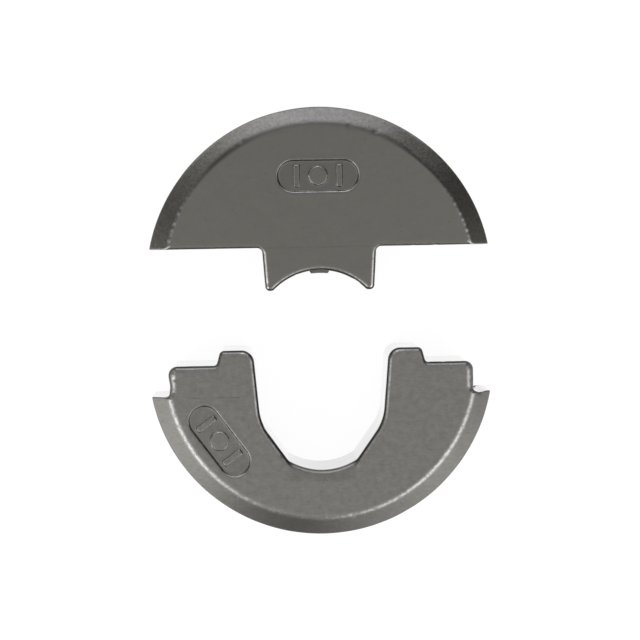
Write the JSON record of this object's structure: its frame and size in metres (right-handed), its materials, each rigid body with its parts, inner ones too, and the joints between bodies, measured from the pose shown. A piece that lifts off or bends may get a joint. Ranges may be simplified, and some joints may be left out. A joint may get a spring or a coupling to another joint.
{
  "type": "ferrule die insert",
  "caption": "Two-part press die insert for ferrules: a half-moon punch half with a concave tongue and a U-shaped nest half with stepped arms, both with a bevelled round rim.",
  "frame": {"origin": "on the ground, midway between the two halves as they lie open", "axes": "+Y from the nest half towards the punch half, along the press stroke; +Z out of the front faces; +X to the right"},
  "size_m": [0.0688, 0.0868, 0.016],
  "materials": {
    "punch_steel": "cast and bead-blasted, dark satin grey",
    "nest_steel": "cast and bead-blasted, dark satin grey"
  },
  "bodies": {
    "nest_half": {"lower_die": "nest_steel"},
    "punch_half": {"upper_die": "punch_steel"}
  },
  "joints": [
    {"name": "die_close", "type": "slide", "parent": "nest_half", "child": "punch_half", "axis": [0, -1, 0], "range_m": [0, 0.0202]}
  ]
}
